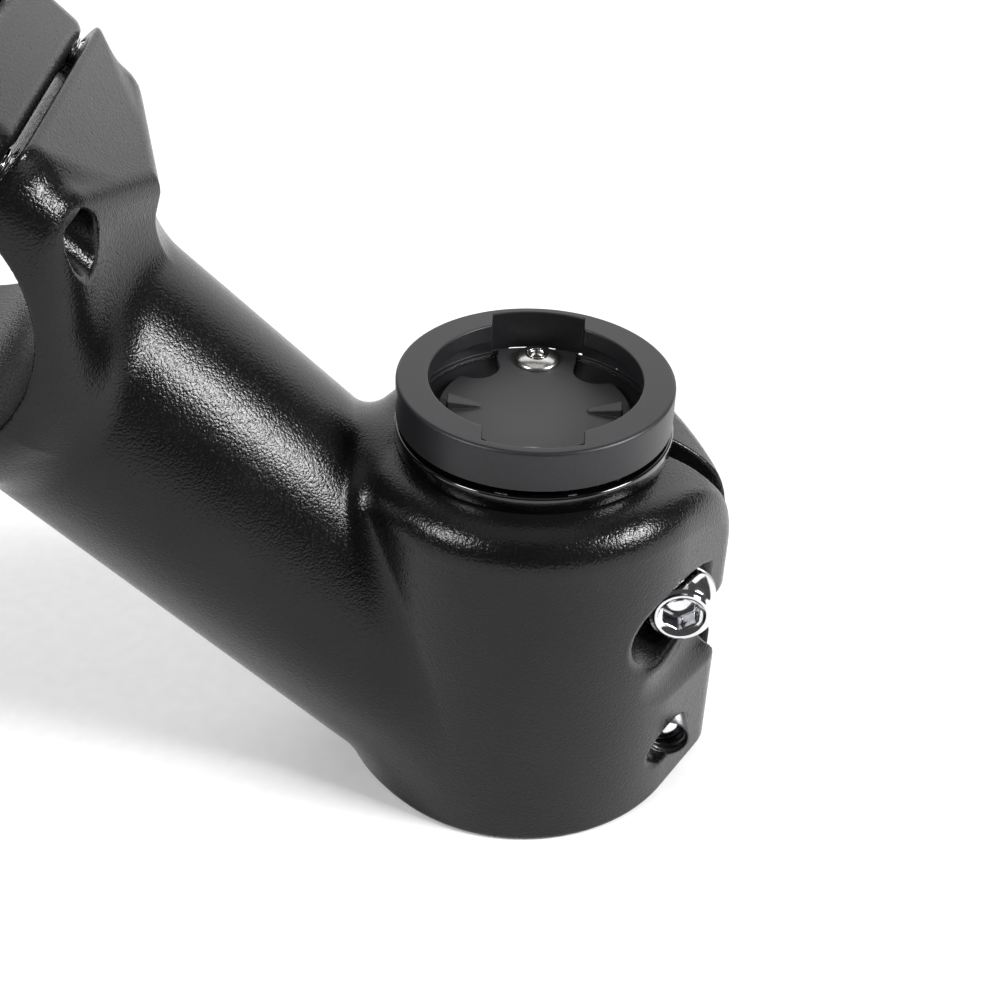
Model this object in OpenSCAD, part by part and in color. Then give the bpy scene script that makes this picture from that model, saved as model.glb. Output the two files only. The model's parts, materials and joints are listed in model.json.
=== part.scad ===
// Handlebar stem with a quarter-turn computer socket on its headset cap.
// Origin: steerer axis at the clamp's bottom face. +X to the handlebar, +Y to the left, +Z up.

/* [Steerer clamp] */
// Fork steerer diameter that the clamp grips
steerer_d = 28.6; // [25.4:0.1:30]
// Outside diameter of the steerer clamp
clamp_od = 40.8; // [39:0.2:46]
// Height of the steerer clamp
clamp_h = 43.3; // [40:0.1:54]
// Length of each gripping band at the ends of the bore
band_h = 14; // [8:0.5:15]
// Radius of the rounding between the clamp's top face and its side
top_round = 4.4; // [1:0.2:4.8]
// Width of the slot between the ears
slot_w = 3.6; // [2:0.2:4.4]
// Angle at which the clamp's flanks narrow towards the ears
ear_taper = 54.5; // [50:1:62]
// Radius of the ears' top rear corner, seen from the side
ear_round = 14.5; // [8:0.5:16]
// Height of the lower clamp bolt
low_bolt_z = 7.5; // [6.5:0.1:9]
// Distance between the two clamp bolts
clamp_bolt_pitch = 18.9; // [16:0.1:22]

/* [Tube] */
// Outside diameter of the tube
tube_od = 32.2; // [28:0.2:36]
// Rise of the tube above level
tube_angle = 45; // [30:1:50]
// Stem length from the steerer axis to the bar's centre
stem_len = 90; // [80:1:120]
// Height at which the tube's axis meets the steerer axis
tube_foot_z = 2.3; // [0:0.1:6]

/* [Bar clamp] */
// Handlebar diameter at the clamp
bar_d = 31.8; // [25.4:0.1:35]
// Width of the bar clamp along the bar
bar_clamp_w = 36; // [32:1:48]
// Wall around the bar
bar_wall = 4.5; // [3.5:0.1:6]
// Gap between the stem and the face plate
plate_gap = 1; // [0.6:0.2:3]
// Depth of each bolted flange beside the gap
flange_t = 8; // [6:0.5:10]

/* [Bolts] */
// Thread diameter of the clamp and face-plate bolts
bolt_d = 5; // [4:0.5:6]
// Base diameter of their tapered heads
bolt_head_d = 8.5; // [7.5:0.1:10]
// Diameter of the flat rim on top of the heads
bolt_rim_d = 6.8; // [5.8:0.1:7.4]
// Height of the heads
bolt_head_h = 4; // [3:0.1:5]
// Width across the flats of their hex sockets
bolt_hex = 4; // [3:0.5:5]
// Length of each bolt under its head
bolt_len = 16; // [15:0.5:20]
// Thickness of the washers under the heads
washer_t = 0.5; // [0.3:0.1:1]
// Outside diameter of the washers
washer_d = 8.6; // [8.5:0.1:9.4]

/* [Headset cap] */
// Turn of the cap on the steerer axis, as it was last tightened
cap_yaw = -2.5; // [-90:0.5:90]
// Outside diameter of the glossy base ring
base_od = 30.7; // [28:0.1:34]
// Height of the glossy base ring above the clamp
base_h = 2; // [1.6:0.1:3]
// Groove left between the base ring and the socket ring
groove_h = 0.4; // [0.2:0.1:1]
// Length of the preload bolt
preload_len = 25; // [20:1:28]

/* [Computer socket] */
// Outside diameter of the socket ring
socket_od = 30.4; // [29.6:0.1:34]
// Height of the socket ring
socket_h = 5.1; // [4.6:0.1:7]
// Diameter inside the socket's lip
lip_d = 23.3; // [20:0.1:24.5]
// Thickness of the lip
lip_t = 2.2; // [1.5:0.1:2.4]
// Diameter of the room under the lip and of the entry notches
room_d = 27.3; // [26:0.1:28]
// Width of each entry notch
notch_w = 10.5; // [8:0.5:12]
// Thickness of the detent plate
detent_t = 0.8; // [0.6:0.1:1]
// Height of the detent ramps at their outer ends
ramp_h = 1; // [0.6:0.1:1.2]

/* [Hidden] */
$fn = 96;
eps = 0.01;

// Clearances
thread_gap = 0.08;      // bolt in its thread
bolt_hex_depth = 2.6;
hole_gap = 0.25;        // bolt through a plain hole, radial
ear_hole_gap = 0.15;    // the same in an ear, where the bore is near
seat_gap = 0.1;         // cap pieces that sit in each other, radial
pocket_gap = 1.1;       // washer in its pocket, radial

// Steerer clamp
bore_r = steerer_d / 2;
relief = 0.5;                                   // how deep the bore is relieved between its bands
clamp_r = clamp_od / 2;
foot_chamfer = 0.8;
relief_top = low_bolt_z + clamp_bolt_pitch - bolt_d; // the relief stays below the upper bolt
bolt_wall = 0.3;                                // metal between the bore and the clamp bolts
clamp_bolt_x = -(bore_r + bolt_wall + bolt_d / 2);
ear_x = clamp_bolt_x + 0.9;                     // centre of the ears' round tip
flank_inset = 0.15;                             // flanks pass this far inside the round body
ear_r = clamp_r - flank_inset + ear_x * sin(ear_taper); // its radius, tangent to the flanks
ear_end = ear_x - ear_r;
ear_drop = 0.3;                                 // ears' top below the clamp's top face
high_bolt_z = low_bolt_z + clamp_bolt_pitch;
ear_floor_y = 6.4;                              // seat of the washers beside the slot
pocket_r = washer_d / 2 + pocket_gap;
ear_pocket_x = 0.5;                             // its centre lies this far from the bolt, to the bore
scallop_r = 5;                                  // scoop between the two bolts
scallop_z = low_bolt_z + 11.8;
scallop_floor = bore_r + 5.1;                   // its floor, from the steerer axis
scallop_yaw = 25;                               // lean of the scoop towards the flank

// Tube and bar clamp
tube_r = tube_od / 2;
bar_r = bar_d / 2;
bar_clamp_r = bar_r + bar_wall;
bar_bolt_wall = 0.8;                            // metal between the bar and its bolts
bar_bolt_n = bar_r + bar_bolt_wall + bolt_d / 2;
bar_bolt_y = bar_clamp_w / 2 - 3.5;
flange_n = bar_bolt_n + 3.8;                    // top of the flanges, from the bar's centre
flange_round = 4;
window_w = 12;                                  // window in the face plate
window_round = 2.5;
web_tip = 12.5;                                 // how far the web reaches back from the gap
web_tip_w = 9;
web_inset = 1.5;                                // web's root from the flange's end
web_tip_n = tube_r + 0.6;

// Headset cap, heights above the clamp's top face
spigot_h = 2;
spigot_r = bore_r - 0.6;
ring_floor_t = 1;                               // floor of the socket ring, sunk in the base
ring_z = base_h + groove_h;
recess_r = room_d / 2 - 0.55;
o_ring_r = 0.55;
o_ring_mid = bore_r - 0.65;
o_ring_drop = 1;                                // its middle below the clamp's top face
groove_w = 1.2;
groove_r = o_ring_mid - o_ring_r - seat_gap;    // floor of its groove
preload_d = 6;
preload_head_d = 11.6;
preload_head_h = 3;
preload_hex = 4;
preload_hex_depth = 2.2;
preload_top = ring_z - ring_floor_t - 0.1;

// Socket and detent plate
screw_d = 3;
screw_r = room_d / 2 - 3.15;                    // circle of the plate's screws
screw_head_d = 5.3;
screw_head_h = 1;
screw_hex_depth = 0.8;
screw_hex = 2;
screw_len = 4.2;
detent_z = ring_z;
lobe_w = 9.2;                                   // the two screwed lobes
spring_r = lip_d / 2 - 1;                       // the two sprung lobes end short of the wall
hollow_r = 2.6;                                 // round hollows that free them to bend
hollow_mid = spring_r + 0.35;
hollow_turn = 38.7;                             // from the line through the screws
floor_hole_r = 7.4;
ramp_in = 5.8;                                  // ramp's point, from the centre
ramp_out = 9.6;
ramp_w = 1.9;
ramp_tip_w = 0.6;
ramp_tip_h = 0.25;

// Puts children on the tube's axis, +Z along the tube and -X to its upper side
module on_tube(d) {
    translate([0, 0, tube_foot_z])
        rotate([0, 90 - tube_angle, 0])
            translate([0, 0, d])
                children();
}

// Puts children on the clamp's top face, turned as the cap is
module on_cap() {
    translate([0, 0, clamp_h])
        rotate([0, 0, cap_yaw])
            children();
}

// Rounded rectangle, a by b, from plain shapes
module round_rect(a, b, r) {
    square([a - 2 * r, b], center = true);
    square([a, b - 2 * r], center = true);
    for (i = [-1, 1])
        for (j = [-1, 1])
            translate([i * (a / 2 - r), j * (b / 2 - r)])
                circle(r = r);
}

// Outline of a quarter round from angle a0 to a1
function arc(cx, cy, r, a0, a1, n = 10) =
    [for (i = [0 : n]) let (a = a0 + (a1 - a0) * i / n) [cx + r * cos(a), cy + r * sin(a)]];

// ---- Stem ----

// Plan of the ears: flanks that leave the round body and meet a round tip
module ear_plan() {
    tangent = [-sin(ear_taper), cos(ear_taper)];
    root = (clamp_r - flank_inset) * tangent;
    tip = [ear_x, 0] + ear_r * tangent;
    translate([ear_x, 0])
        circle(r = ear_r);
    polygon([[0, 0], root, tip, [tip.x, -tip.y], [root.x, -root.y]]);
}

// Side profile that rounds the ears' top rear corner
module ear_profile() {
    top = clamp_h - ear_drop;
    cx = ear_end + ear_round;
    polygon(concat(
        [[cx + clamp_r, foot_chamfer], [cx + clamp_r, top]],
        arc(cx, top - ear_round, ear_round, 90, 180, 16),
        [[ear_end, foot_chamfer + 1], [ear_end + foot_chamfer + 1, 0]]
    ));
}

module clamp_barrel() {
    rotate_extrude()
        polygon(concat(
            [[0, 0], [clamp_r - foot_chamfer, 0], [clamp_r, foot_chamfer]],
            arc(clamp_r - top_round, clamp_h - top_round, top_round, 0, 90),
            [[0, clamp_h]]
        ));
    intersection() {
        linear_extrude(clamp_h)
            ear_plan();
        rotate([90, 0, 0])
            linear_extrude(2 * clamp_od, center = true)
                ear_profile();
    }
}

// Flange beside the gap, from the gap back along the tube
module flange(z0) {
    translate([0, 0, z0])
        linear_extrude(flange_t)
            round_rect(2 * flange_n, bar_clamp_w, flange_round);
}

// Web that carries the upper or the lower flange down to the tube
module web() {
    half_w = bar_clamp_w / 2 - web_inset;
    root = -plate_gap / 2 - flange_t / 2;
    back = root - 2.5;                          // where the slope down to the tube starts
    intersection() {
        rotate([0, -90, 0])
            linear_extrude(flange_n)
                polygon([
                    [root, half_w], [root, -half_w],
                    [-web_tip, -web_tip_w / 2], [-web_tip, web_tip_w / 2]
                ]);
        rotate([90, 0, 0])
            linear_extrude(bar_clamp_w, center = true)
                polygon([
                    [0, root], [-flange_n, root], [-flange_n + 0.6, back],
                    [-web_tip_n, -web_tip], [0, -web_tip]
                ]);
    }
}

module bar_clamp_rear() {
    intersection() {
        rotate([90, 0, 0])
            cylinder(r = bar_clamp_r, h = bar_clamp_w, center = true);
        translate([-bar_clamp_r, -bar_clamp_w, -2 * bar_clamp_r - plate_gap / 2])
            cube([2 * bar_clamp_r, 2 * bar_clamp_w, 2 * bar_clamp_r]);
    }
    flange(-plate_gap / 2 - flange_t);
    for (side = [0, 180])
        rotate([0, 0, side])
            web();
}

// Hole through one ear and thread in the other, with the washer's pocket; side is the head's side
module clamp_bolt_holes(z, side) {
    translate([clamp_bolt_x, 0, z])
        rotate([-90 * side, 0, 0]) {
            cylinder(r = bolt_d / 2 + ear_hole_gap, h = 2 * clamp_r);
            translate([ear_pocket_x, 0, ear_floor_y])
                cylinder(r = pocket_r, h = 2 * clamp_r);
            translate([0, 0, -2 * clamp_r])
                cylinder(r = bolt_d / 2, h = 2 * clamp_r + eps);
        }
}

// Scoops between the two bolts, one on each flank
module scallops() {
    for (side = [-1, 1])
        rotate([0, 0, -side * scallop_yaw])
            translate([-scallop_floor - scallop_r, 0, scallop_z])
                rotate([90, 0, 0])
                    cylinder(r = scallop_r, h = 3 * clamp_r, center = true);
}

module steerer_bore() {
    translate([0, 0, -1])
        cylinder(r = bore_r, h = clamp_h + 2);
    translate([0, 0, band_h])
        cylinder(r = bore_r + relief, h = relief_top - band_h);
}

module stem_body() {
    color([0.06, 0.06, 0.06])
        difference() {
            union() {
                clamp_barrel();
                difference() {
                    on_tube(0)
                        cylinder(r = tube_r, h = stem_len - bar_r / 2);
                    translate([-2 * clamp_r, -clamp_r, -2 * clamp_r])
                        cube([4 * clamp_r, 2 * clamp_r, 2 * clamp_r]);
                }
                on_tube(stem_len)
                    bar_clamp_rear();
            }
            steerer_bore();
            translate([-2 * clamp_r, -slot_w / 2, -1])
                cube([2 * clamp_r, slot_w, clamp_h + 2]);
            clamp_bolt_holes(high_bolt_z, 1);
            clamp_bolt_holes(low_bolt_z, -1);
            scallops();
            on_tube(stem_len)
                rotate([90, 0, 0])
                    cylinder(r = bar_r, h = 2 * bar_clamp_w, center = true);
            on_tube(stem_len)
                for (i = [-1, 1])
                    for (j = [-1, 1])
                        translate([i * bar_bolt_n, j * bar_bolt_y, -2 * flange_t])
                            cylinder(r = bolt_d / 2, h = 3 * flange_t);
        }
}

module face_plate() {
    color([0.06, 0.06, 0.06])
        on_tube(stem_len)
            difference() {
                union() {
                    intersection() {
                        rotate([90, 0, 0])
                            cylinder(r = bar_clamp_r, h = bar_clamp_w, center = true);
                        translate([-bar_clamp_r, -bar_clamp_w, plate_gap / 2])
                            cube([2 * bar_clamp_r, 2 * bar_clamp_w, 2 * bar_clamp_r]);
                    }
                    flange(plate_gap / 2);
                }
                rotate([90, 0, 0])
                    cylinder(r = bar_r, h = 2 * bar_clamp_w, center = true);
                for (i = [-1, 1])
                    for (j = [-1, 1])
                        translate([i * bar_bolt_n, j * bar_bolt_y, -1])
                            cylinder(r = bolt_d / 2 + hole_gap, h = flange_t + 3);
                // pockets for the heads and washers, beside the round back
                for (i = [-1, 1])
                    for (j = [-1, 1])
                        translate([i * bar_bolt_n, j * bar_bolt_y, plate_gap / 2 + flange_t])
                            cylinder(r = pocket_r, h = bar_clamp_r);
                // window that lightens the plate
                translate([0, 0, bar_r / 2])
                    linear_extrude(bar_clamp_r)
                        round_rect(2 * (bar_bolt_n - pocket_r) - 3, window_w, window_round);
            }
}

// ---- Fasteners ----

// Socket bolt with a tapered head; +Z leaves the head, the head's base is at z = 0
module tapered_bolt() {
    shank_r = bolt_d / 2 - thread_gap;
    rim_r = bolt_rim_d / 2;
    chamfer = 0.4;
    color([0.8, 0.8, 0.82])
        difference() {
            rotate_extrude()
                polygon([
                    [0, -bolt_len], [shank_r - chamfer, -bolt_len], [shank_r, -bolt_len + chamfer],
                    [shank_r, 0], [bolt_head_d / 2 - 0.2, 0], [bolt_head_d / 2, 0.3],
                    [bolt_head_d / 2 - 0.15, 1.2], [rim_r + 0.45, bolt_head_h - 0.9],
                    [rim_r, bolt_head_h - 0.15], [rim_r - 0.3, bolt_head_h], [0, bolt_head_h]
                ]);
            translate([0, 0, bolt_head_h - bolt_hex_depth])
                cylinder(r = bolt_hex / sqrt(3), h = 4, $fn = 6);
            translate([0, 0, bolt_head_h - 0.5])
                cylinder(r1 = bolt_hex / 2, r2 = bolt_hex / 2 + 0.75, h = 0.75);
        }
}

module plain_washer() {
    color([0.72, 0.73, 0.75])
        difference() {
            cylinder(r = washer_d / 2, h = washer_t);
            translate([0, 0, -1])
                cylinder(r = bolt_d / 2 + hole_gap, h = washer_t + 2);
        }
}

// Places children at a clamp bolt's seat; side is the head's side
module at_clamp_bolt(z, side, lift) {
    translate([clamp_bolt_x, side * (ear_floor_y + lift), z])
        rotate([-90 * side, 0, 0])
            children();
}

// Places children at a face-plate bolt's seat; up is 1 for the upper row, left is 1 for the left
module at_bar_bolt(up, left, lift) {
    on_tube(stem_len)
        translate([-up * bar_bolt_n, left * bar_bolt_y, plate_gap / 2 + flange_t + lift])
            children();
}

// Countersunk bolt that preloads the headset bearings
module preload_bolt() {
    shank_r = preload_d / 2;
    head_r = preload_head_d / 2;
    color([0.12, 0.12, 0.12])
        on_cap()
            translate([0, 0, preload_top])
                difference() {
                    rotate_extrude()
                        polygon([
                            [0, -preload_len], [shank_r - 0.5, -preload_len],
                            [shank_r, -preload_len + 0.5], [shank_r, -preload_head_h],
                            [head_r, -0.3], [head_r, 0], [0, 0]
                        ]);
                    translate([0, 0, -preload_hex_depth])
                        cylinder(r = preload_hex / sqrt(3), h = 4, $fn = 6);
                }
}

// Round-headed screw that holds the detent plate and the socket ring on the base
module plate_screw(side) {
    head_r = screw_head_d / 2;
    color([0.78, 0.78, 0.8])
        on_cap()
            translate([0, side * screw_r, detent_z + detent_t])
                difference() {
                    rotate_extrude()
                        polygon(concat(
                            [[0, -screw_len], [screw_d / 2 - 0.3, -screw_len],
                             [screw_d / 2, 0.3 - screw_len], [screw_d / 2, 0], [head_r, 0]],
                            [for (i = [0 : 6]) let (a = i * 13)
                                [head_r * cos(a), 0.15 + (screw_head_h - 0.15) * sin(a) / sin(78)]],
                            [[0, screw_head_h]]
                        ));
                    translate([0, 0, screw_head_h - screw_hex_depth])
                        cylinder(r = screw_hex / sqrt(3), h = 2, $fn = 6);
                }
}

// ---- Headset cap and computer socket ----

module cap_base() {
    chamfer = 0.4;
    color([0.02, 0.02, 0.02])
        on_cap()
            difference() {
                rotate_extrude()
                    polygon([
                        [0, -spigot_h], [spigot_r - chamfer, -spigot_h], [spigot_r, chamfer - spigot_h],
                        [spigot_r, -o_ring_drop - groove_w / 2], [groove_r, -o_ring_drop - groove_w / 2],
                        [groove_r, groove_w / 2 - o_ring_drop], [spigot_r, groove_w / 2 - o_ring_drop],
                        [spigot_r, 0],
                        [base_od / 2 - 0.15, 0], [base_od / 2, 0.15], [base_od / 2, base_h - chamfer],
                        [base_od / 2 - chamfer, base_h], [0, base_h]
                    ]);
                translate([0, 0, ring_z - ring_floor_t])
                    cylinder(r = recess_r + seat_gap, h = base_h);
                translate([0, 0, -spigot_h - 1])
                    cylinder(r = preload_d / 2 + seat_gap, h = spigot_h + base_h + 2);
                translate([0, 0, preload_top - preload_head_h])
                    cylinder(r1 = preload_d / 2 + seat_gap, r2 = preload_head_d / 2 + seat_gap,
                             h = preload_head_h - 0.3);
                translate([0, 0, preload_top - 0.3 - eps])
                    cylinder(r = preload_head_d / 2 + seat_gap, h = base_h);
                for (side = [-1, 1])
                    translate([0, side * screw_r, -spigot_h - 1])
                        cylinder(r = screw_d / 2, h = spigot_h + base_h + 2);
            }
}

module cap_o_ring() {
    color([0.03, 0.03, 0.03])
        on_cap()
            translate([0, 0, -o_ring_drop])
                rotate_extrude()
                    translate([o_ring_mid, 0])
                        circle(r = o_ring_r, $fn = 32);
}

module socket_ring() {
    chamfer = 0.42;
    lip_chamfer = 0.2;
    top = ring_z + socket_h;
    color([0.1, 0.1, 0.1])
        on_cap()
            difference() {
                rotate_extrude()
                    polygon([
                        [floor_hole_r, ring_z - ring_floor_t], [recess_r, ring_z - ring_floor_t],
                        [recess_r, ring_z], [socket_od / 2 - 0.2, ring_z],
                        [socket_od / 2, ring_z + 0.2], [socket_od / 2, top - chamfer],
                        [socket_od / 2 - chamfer, top], [lip_d / 2 + lip_chamfer, top],
                        [lip_d / 2, top - lip_chamfer], [lip_d / 2, top - lip_t],
                        [room_d / 2, top - lip_t], [room_d / 2, ring_z],
                        [floor_hole_r, ring_z]
                    ]);
                // entry notches for the computer's two tabs
                intersection() {
                    translate([0, 0, top - lip_t - 1])
                        cylinder(r = room_d / 2, h = lip_t + 2);
                    cube([notch_w, 2 * room_d, 3 * top], center = true);
                }
                for (side = [-1, 1])
                    translate([0, side * screw_r, 0])
                        cylinder(r = screw_d / 2 + seat_gap, h = top);
            }
}

// Ramp with its blunt point to the centre, highest at its outer end
module detent_ramp() {
    intersection() {
        linear_extrude(detent_t + ramp_h)
            polygon([
                [ramp_in, ramp_tip_w / 2], [ramp_out, ramp_w / 2],
                [ramp_out, -ramp_w / 2], [ramp_in, -ramp_tip_w / 2]
            ]);
        rotate([90, 0, 0])
            linear_extrude(2 * ramp_w, center = true)
                polygon([
                    [ramp_in, 0], [ramp_out, 0], [ramp_out, detent_t + ramp_h],
                    [ramp_in, detent_t + ramp_tip_h]
                ]);
    }
}

// Outline of the plate: two lobes held by screws, two that bend, and hollows between them
module detent_outline() {
    difference() {
        union() {
            intersection() {
                circle(r = room_d / 2 - 0.25);
                square([lobe_w, room_d], center = true);
            }
            circle(r = spring_r);
        }
        for (i = [-1, 1])
            for (j = [-1, 1])
                translate(hollow_mid * [i * sin(hollow_turn), j * cos(hollow_turn)])
                    circle(r = hollow_r);
        for (side = [-1, 1])
            translate([0, side * screw_r])
                circle(r = screw_d / 2 + seat_gap);
    }
}

module detent_plate() {
    color([0.09, 0.09, 0.09])
        on_cap()
            translate([0, 0, detent_z]) {
                linear_extrude(detent_t)
                    detent_outline();
                for (side = [0, 180])
                    rotate([0, 0, side])
                        detent_ramp();
            }
}

module steerer_bolt_upper() {
    at_clamp_bolt(high_bolt_z, 1, washer_t)
        tapered_bolt();
}

module steerer_bolt_lower() {
    at_clamp_bolt(low_bolt_z, -1, washer_t)
        tapered_bolt();
}

module steerer_washer_upper() {
    at_clamp_bolt(high_bolt_z, 1, 0)
        plain_washer();
}

module steerer_washer_lower() {
    at_clamp_bolt(low_bolt_z, -1, 0)
        plain_washer();
}

module bar_bolt(up, left) {
    at_bar_bolt(up, left, washer_t)
        tapered_bolt();
}

module bar_washer(up, left) {
    at_bar_bolt(up, left, 0)
        plain_washer();
}

stem_body();
face_plate();
steerer_bolt_upper();
steerer_bolt_lower();
steerer_washer_upper();
steerer_washer_lower();
bar_bolt(1, 1);  // bar_bolt_upper_left
bar_bolt(1, -1);  // bar_bolt_upper_right
bar_bolt(-1, 1);  // bar_bolt_lower_left
bar_bolt(-1, -1);  // bar_bolt_lower_right
bar_washer(1, 1);  // bar_washer_upper_left
bar_washer(1, -1);  // bar_washer_upper_right
bar_washer(-1, 1);  // bar_washer_lower_left
bar_washer(-1, -1);  // bar_washer_lower_right
cap_base();
cap_o_ring();
preload_bolt();
socket_ring();
detent_plate();
plate_screw(-1);  // plate_screw_far
plate_screw(1);  // plate_screw_near
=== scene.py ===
import json
import math

import bpy
import numpy as np
from mathutils import Matrix, Vector

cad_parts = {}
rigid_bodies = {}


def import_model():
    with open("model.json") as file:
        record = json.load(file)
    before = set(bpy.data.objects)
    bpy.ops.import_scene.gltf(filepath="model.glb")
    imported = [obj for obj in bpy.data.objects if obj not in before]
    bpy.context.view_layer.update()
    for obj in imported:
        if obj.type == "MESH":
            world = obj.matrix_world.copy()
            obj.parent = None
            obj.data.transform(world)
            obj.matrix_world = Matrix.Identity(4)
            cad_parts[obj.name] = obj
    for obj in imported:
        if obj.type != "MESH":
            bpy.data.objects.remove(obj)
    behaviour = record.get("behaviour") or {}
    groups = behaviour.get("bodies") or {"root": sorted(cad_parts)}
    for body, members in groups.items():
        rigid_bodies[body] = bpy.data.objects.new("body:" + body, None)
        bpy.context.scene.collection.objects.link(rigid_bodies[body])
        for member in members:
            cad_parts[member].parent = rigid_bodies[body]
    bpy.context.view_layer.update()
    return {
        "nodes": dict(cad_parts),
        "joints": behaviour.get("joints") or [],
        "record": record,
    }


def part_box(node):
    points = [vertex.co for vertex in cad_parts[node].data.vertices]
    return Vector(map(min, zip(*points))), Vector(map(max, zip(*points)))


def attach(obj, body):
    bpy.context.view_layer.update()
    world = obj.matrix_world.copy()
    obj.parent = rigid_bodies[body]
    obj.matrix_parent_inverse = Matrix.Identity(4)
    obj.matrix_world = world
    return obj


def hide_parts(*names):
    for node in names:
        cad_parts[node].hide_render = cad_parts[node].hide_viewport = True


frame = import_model()
nodes = frame["nodes"]
joints = {joint["name"]: joint for joint in frame["joints"]}
mounts = {mount["name"]: mount for mount in frame["record"]["mounts"]}
mm = 0.001

# ---- shapes as distance fields, in millimetres ----
# A field gives each point's distance to a surface, below zero inside. Rounded joins and cuts
# are what a forging has, so the forged and moulded pieces are all made this way.


def bothRound(a, b, radius):  # what a and b share, with the edge between them rounded
    corner = np.hypot(np.maximum(a + radius, 0), np.maximum(b + radius, 0))
    return np.minimum(np.maximum(a, b), -radius) + corner


def eitherRound(a, b, radius):  # a and b together, with a fillet where they meet
    corner = np.hypot(np.maximum(radius - a, 0), np.maximum(radius - b, 0))
    return np.maximum(np.minimum(a, b), radius) - corner


def cutRound(a, b, radius):  # a with b cut out, and the rim of the cut rounded
    return bothRound(a, -b, radius)


def roundedBox(across, along, halfAcross, halfAlong, radius):
    qa = np.abs(across) - halfAcross + radius
    qb = np.abs(along) - halfAlong + radius
    outside = np.hypot(np.maximum(qa, 0), np.maximum(qb, 0))
    return np.minimum(np.maximum(qa, qb), 0) + outside - radius


def eggPlan(side, along, bodyRadius, tipRadius, reach):  # two circles and the lines that touch both
    slope = (bodyRadius - tipRadius) / reach
    rise = math.sqrt(1 - slope * slope)
    side = np.abs(side)
    turn = rise * along - slope * side
    flank = rise * side + slope * along - bodyRadius
    body = np.hypot(side, along) - bodyRadius
    tip = np.hypot(side, along - reach) - tipRadius
    return np.where(turn < 0, body, np.where(turn > rise * reach, tip, flank))


def evaluated(field, points):  # in slices, so that memory stays small
    out = np.empty(len(points), np.float32)
    batch = 300000
    for start in range(0, len(points), batch):
        p = points[start:start + batch]
        out[start:start + batch] = field(p[:, 0], p[:, 1], p[:, 2])
    return out


def gradients(field, points, step):
    grad = np.empty_like(points)
    for axis in range(3):
        shift = np.zeros(3, np.float32)
        shift[axis] = step
        grad[:, axis] = evaluated(field, points + shift) - evaluated(field, points - shift)
    return grad / (2 * step)


def surfaceOf(field, low, high, cell):  # one vertex in each cell that the surface crosses
    block = 8
    low = np.array(low, np.float32)
    blocks = np.ceil((np.array(high, np.float32) - low) / (cell * block)).astype(int)
    shape = blocks * block + 1
    axes = [low[i] + cell * block * (np.arange(blocks[i], dtype=np.float32) + 0.5) for i in range(3)]
    centres = np.stack(np.meshgrid(*axes, indexing="ij"), -1).reshape(-1, 3)
    coarse = evaluated(field, centres).reshape(blocks)
    values = np.full(shape, 1.0, np.float32)
    near = np.zeros(shape, bool)
    sign = np.sign(coarse)
    close = np.abs(coarse) < cell * (block + 2) * 0.87
    for i in range(3):
        sign = np.repeat(sign, block, i)
        close = np.repeat(close, block, i)
    values[:-1, :-1, :-1] = sign
    for corner in np.ndindex(2, 2, 2):
        part = tuple(slice(c, c + n - 1) for c, n in zip(corner, shape))
        near[part] |= close
    where = np.argwhere(near)
    values[near] = evaluated(field, low + cell * where.astype(np.float32))
    inside = values < 0
    cells = tuple(n - 1 for n in shape)
    count = np.zeros(cells, np.int8)
    for corner in np.ndindex(2, 2, 2):
        count += inside[tuple(slice(c, c + n) for c, n in zip(corner, cells))]
    crossed = (count > 0) & (count < 8)
    home = np.argwhere(crossed)
    number = np.full(cells, -1, np.int32)
    number[crossed] = np.arange(len(home))
    total = np.zeros((len(home), 3), np.float32)
    hits = np.zeros(len(home), np.float32)
    for axis in range(3):
        others = [i for i in range(3) if i != axis]
        for a, b in ((0, 0), (0, 1), (1, 0), (1, 1)):
            start = np.zeros(3, int)
            start[others] = a, b
            end = start.copy()
            end[axis] = 1
            v0 = values[tuple((home + start).T)]
            v1 = values[tuple((home + end).T)]
            cross = (v0 < 0) != (v1 < 0)
            t = np.where(cross, v0 / np.where(cross, v0 - v1, 1), 0)
            total += (start + t[:, None] * (end - start)) * cross[:, None]
            hits += cross
    points = (low + cell * (home + total / hits[:, None])).astype(np.float32)
    for _ in range(3):  # settle every vertex on the true surface
        distance = evaluated(field, points)
        grad = gradients(field, points, cell * 0.2)
        length = np.maximum((grad ** 2).sum(1), 0.2)
        move = np.clip(distance / length, -0.4 * cell, 0.4 * cell)
        points -= grad * move[:, None]
    faces = []
    for axis in range(3):
        b, c = (axis + 1) % 3, (axis + 2) % 3
        first = [slice(1, n - 1) for n in shape]
        first[axis] = slice(0, shape[axis] - 1)
        second = list(first)
        second[axis] = slice(1, shape[axis])
        start, end = inside[tuple(first)], inside[tuple(second)]
        for outward in (True, False):
            edge = np.argwhere((start & ~end) if outward else (~start & end))
            edge[:, b] += 1
            edge[:, c] += 1
            ring = []
            for db, dc in ((0, 0), (-1, 0), (-1, -1), (0, -1)):
                cellOf = edge.copy()
                cellOf[:, b] += db
                cellOf[:, c] += dc
                ring.append(number[tuple(cellOf.T)])
            quad = np.stack(ring if outward else ring[::-1], 1)
            faces.append(quad)
    return points, np.concatenate(faces)


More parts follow.
